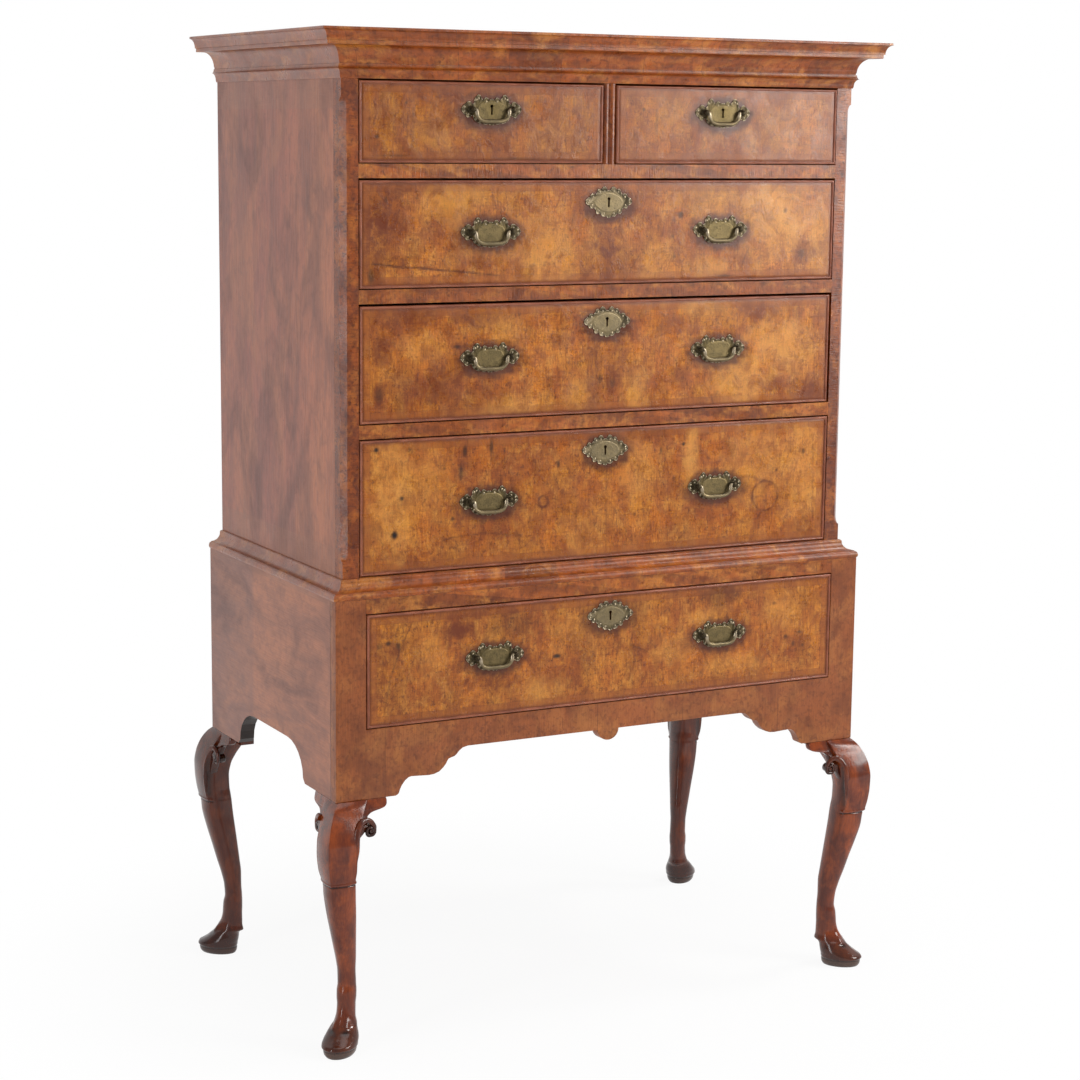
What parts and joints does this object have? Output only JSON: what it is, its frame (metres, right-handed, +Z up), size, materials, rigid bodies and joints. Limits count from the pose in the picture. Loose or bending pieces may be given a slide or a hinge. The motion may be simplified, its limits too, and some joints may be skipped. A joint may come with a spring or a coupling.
{
  "type": "highboy chest on stand",
  "caption": "Tall veneered chest of drawers on a stand with cabriole legs, hoof feet, a shaped apron and swinging brass bail handles.",
  "frame": {"origin": "on the floor, under the middle of the piece", "axes": "+Z up, +X to the right along the front, -Y towards the viewer of the drawer fronts"},
  "size_m": [1.0634, 0.6374, 1.65],
  "materials": {
    "walnut_veneer": "polished figured walnut veneer, book-matched, worn honey brown",
    "side_veneer": "polished walnut veneer with plain vertical grain, faded pinkish brown",
    "crossgrain_walnut": "polished walnut laid across the grain",
    "carved_walnut": "glossy dark solid walnut",
    "pine": "unfinished secondary wood",
    "brass": "aged dull brass with worn bright edges"
  },
  "bodies": {
    "case_and_stand": {"corner_post_left": "crossgrain_walnut", "case_side_left": "side_veneer", "corner_post_right": "crossgrain_walnut", "case_side_right": "side_veneer", "case_back": "pine", "case_top": "pine", "case_bottom": "crossgrain_walnut", "dustboard_lower": "crossgrain_walnut", "dustboard_middle": "crossgrain_walnut", "dustboard_upper": "crossgrain_walnut", "short_drawer_divider": "crossgrain_walnut", "cornice": "crossgrain_walnut", "waist_moulding": "crossgrain_walnut", "front_apron": "walnut_veneer", "stand_top_rail": "walnut_veneer", "stand_side_left": "side_veneer", "stand_side_right": "side_veneer", "stand_back": "pine", "stand_runner_left": "pine", "stand_runner_right": "pine", "leg_front_left": "carved_walnut", "leg_front_right": "carved_walnut", "leg_rear_left": "carved_walnut", "leg_rear_right": "carved_walnut"},
    "bail_short_left": {"bail_short_left": "brass"},
    "drawer_short_left": {"drawer_front_short_left": "walnut_veneer", "drawer_box_short_left": "pine", "handle_plate_short_left": "brass"},
    "bail_short_right": {"bail_short_right": "brass"},
    "drawer_short_right": {"drawer_front_short_right": "walnut_veneer", "drawer_box_short_right": "pine", "handle_plate_short_right": "brass"},
    "bail_upper_left": {"bail_upper_left": "brass"},
    "bail_upper_right": {"bail_upper_right": "brass"},
    "drawer_upper": {"drawer_front_upper": "walnut_veneer", "drawer_box_upper": "pine", "escutcheon_upper": "brass", "handle_plate_upper_left": "brass", "handle_plate_upper_right": "brass"},
    "bail_middle_left": {"bail_middle_left": "brass"},
    "bail_middle_right": {"bail_middle_right": "brass"},
    "drawer_middle": {"drawer_front_middle": "walnut_veneer", "drawer_box_middle": "pine", "escutcheon_middle": "brass", "handle_plate_middle_left": "brass", "handle_plate_middle_right": "brass"},
    "bail_lower_left": {"bail_lower_left": "brass"},
    "bail_lower_right": {"bail_lower_right": "brass"},
    "drawer_lower": {"drawer_front_lower": "walnut_veneer", "drawer_box_lower": "pine", "escutcheon_lower": "brass", "handle_plate_lower_left": "brass", "handle_plate_lower_right": "brass"},
    "bail_stand_left": {"bail_stand_left": "brass"},
    "bail_stand_right": {"bail_stand_right": "brass"},
    "drawer_stand": {"drawer_front_stand": "walnut_veneer", "drawer_box_stand": "pine", "escutcheon_stand": "brass", "handle_plate_stand_left": "brass", "handle_plate_stand_right": "brass"}
  },
  "joints": [
    {"name": "drawer_short_left_slide", "type": "slide", "parent": "case_and_stand", "child": "drawer_short_left", "axis": [0, -1, 0], "range_m": [0, 0.38]},
    {"name": "bail_short_left_hinge", "type": "hinge", "parent": "drawer_short_left", "child": "bail_short_left", "pos_m": [-0.2175, -0.2657, 1.5295], "axis": [-1, 0, 0], "range_deg": [-4, 85]},
    {"name": "drawer_short_right_slide", "type": "slide", "parent": "case_and_stand", "child": "drawer_short_right", "axis": [0, -1, 0], "range_m": [0, 0.38]},
    {"name": "bail_short_right_hinge", "type": "hinge", "parent": "drawer_short_right", "child": "bail_short_right", "pos_m": [0.2175, -0.2657, 1.5295], "axis": [-1, 0, 0], "range_deg": [-4, 85]},
    {"name": "drawer_upper_slide", "type": "slide", "parent": "case_and_stand", "child": "drawer_upper", "axis": [0, -1, 0], "range_m": [0, 0.38]},
    {"name": "bail_upper_left_hinge", "type": "hinge", "parent": "drawer_upper", "child": "bail_upper_left", "pos_m": [-0.2175, -0.2657, 1.33525], "axis": [-1, 0, 0], "range_deg": [-4, 85]},
    {"name": "bail_upper_right_hinge", "type": "hinge", "parent": "drawer_upper", "child": "bail_upper_right", "pos_m": [0.2175, -0.2657, 1.33525], "axis": [-1, 0, 0], "range_deg": [-4, 85]},
    {"name": "drawer_middle_slide", "type": "slide", "parent": "case_and_stand", "child": "drawer_middle", "axis": [0, -1, 0], "range_m": [0, 0.38]},
    {"name": "bail_middle_left_hinge", "type": "hinge", "parent": "drawer_middle", "child": "bail_middle_left", "pos_m": [-0.2175, -0.2657, 1.13325], "axis": [-1, 0, 0], "range_deg": [-4, 85]},
    {"name": "bail_middle_right_hinge", "type": "hinge", "parent": "drawer_middle", "child": "bail_middle_right", "pos_m": [0.2175, -0.2657, 1.13325], "axis": [-1, 0, 0], "range_deg": [-4, 85]},
    {"name": "drawer_lower_slide", "type": "slide", "parent": "case_and_stand", "child": "drawer_lower", "axis": [0, -1, 0], "range_m": [0, 0.38]},
    {"name": "bail_lower_left_hinge", "type": "hinge", "parent": "drawer_lower", "child": "bail_lower_left", "pos_m": [-0.2175, -0.2657, 0.8975], "axis": [-1, 0, 0], "range_deg": [-4, 85]},
    {"name": "bail_lower_right_hinge", "type": "hinge", "parent": "drawer_lower", "child": "bail_lower_right", "pos_m": [0.2175, -0.2657, 0.8975], "axis": [-1, 0, 0], "range_deg": [-4, 85]},
    {"name": "drawer_stand_slide", "type": "slide", "parent": "case_and_stand", "child": "drawer_stand", "axis": [0, -1, 0], "range_m": [0, 0.4]},
    {"name": "bail_stand_left_hinge", "type": "hinge", "parent": "drawer_stand", "child": "bail_stand_left", "pos_m": [-0.2175, -0.2917, 0.642], "axis": [-1, 0, 0], "range_deg": [-4, 85]},
    {"name": "bail_stand_right_hinge", "type": "hinge", "parent": "drawer_stand", "child": "bail_stand_right", "pos_m": [0.2175, -0.2917, 0.642], "axis": [-1, 0, 0], "range_deg": [-4, 85]}
  ]
}
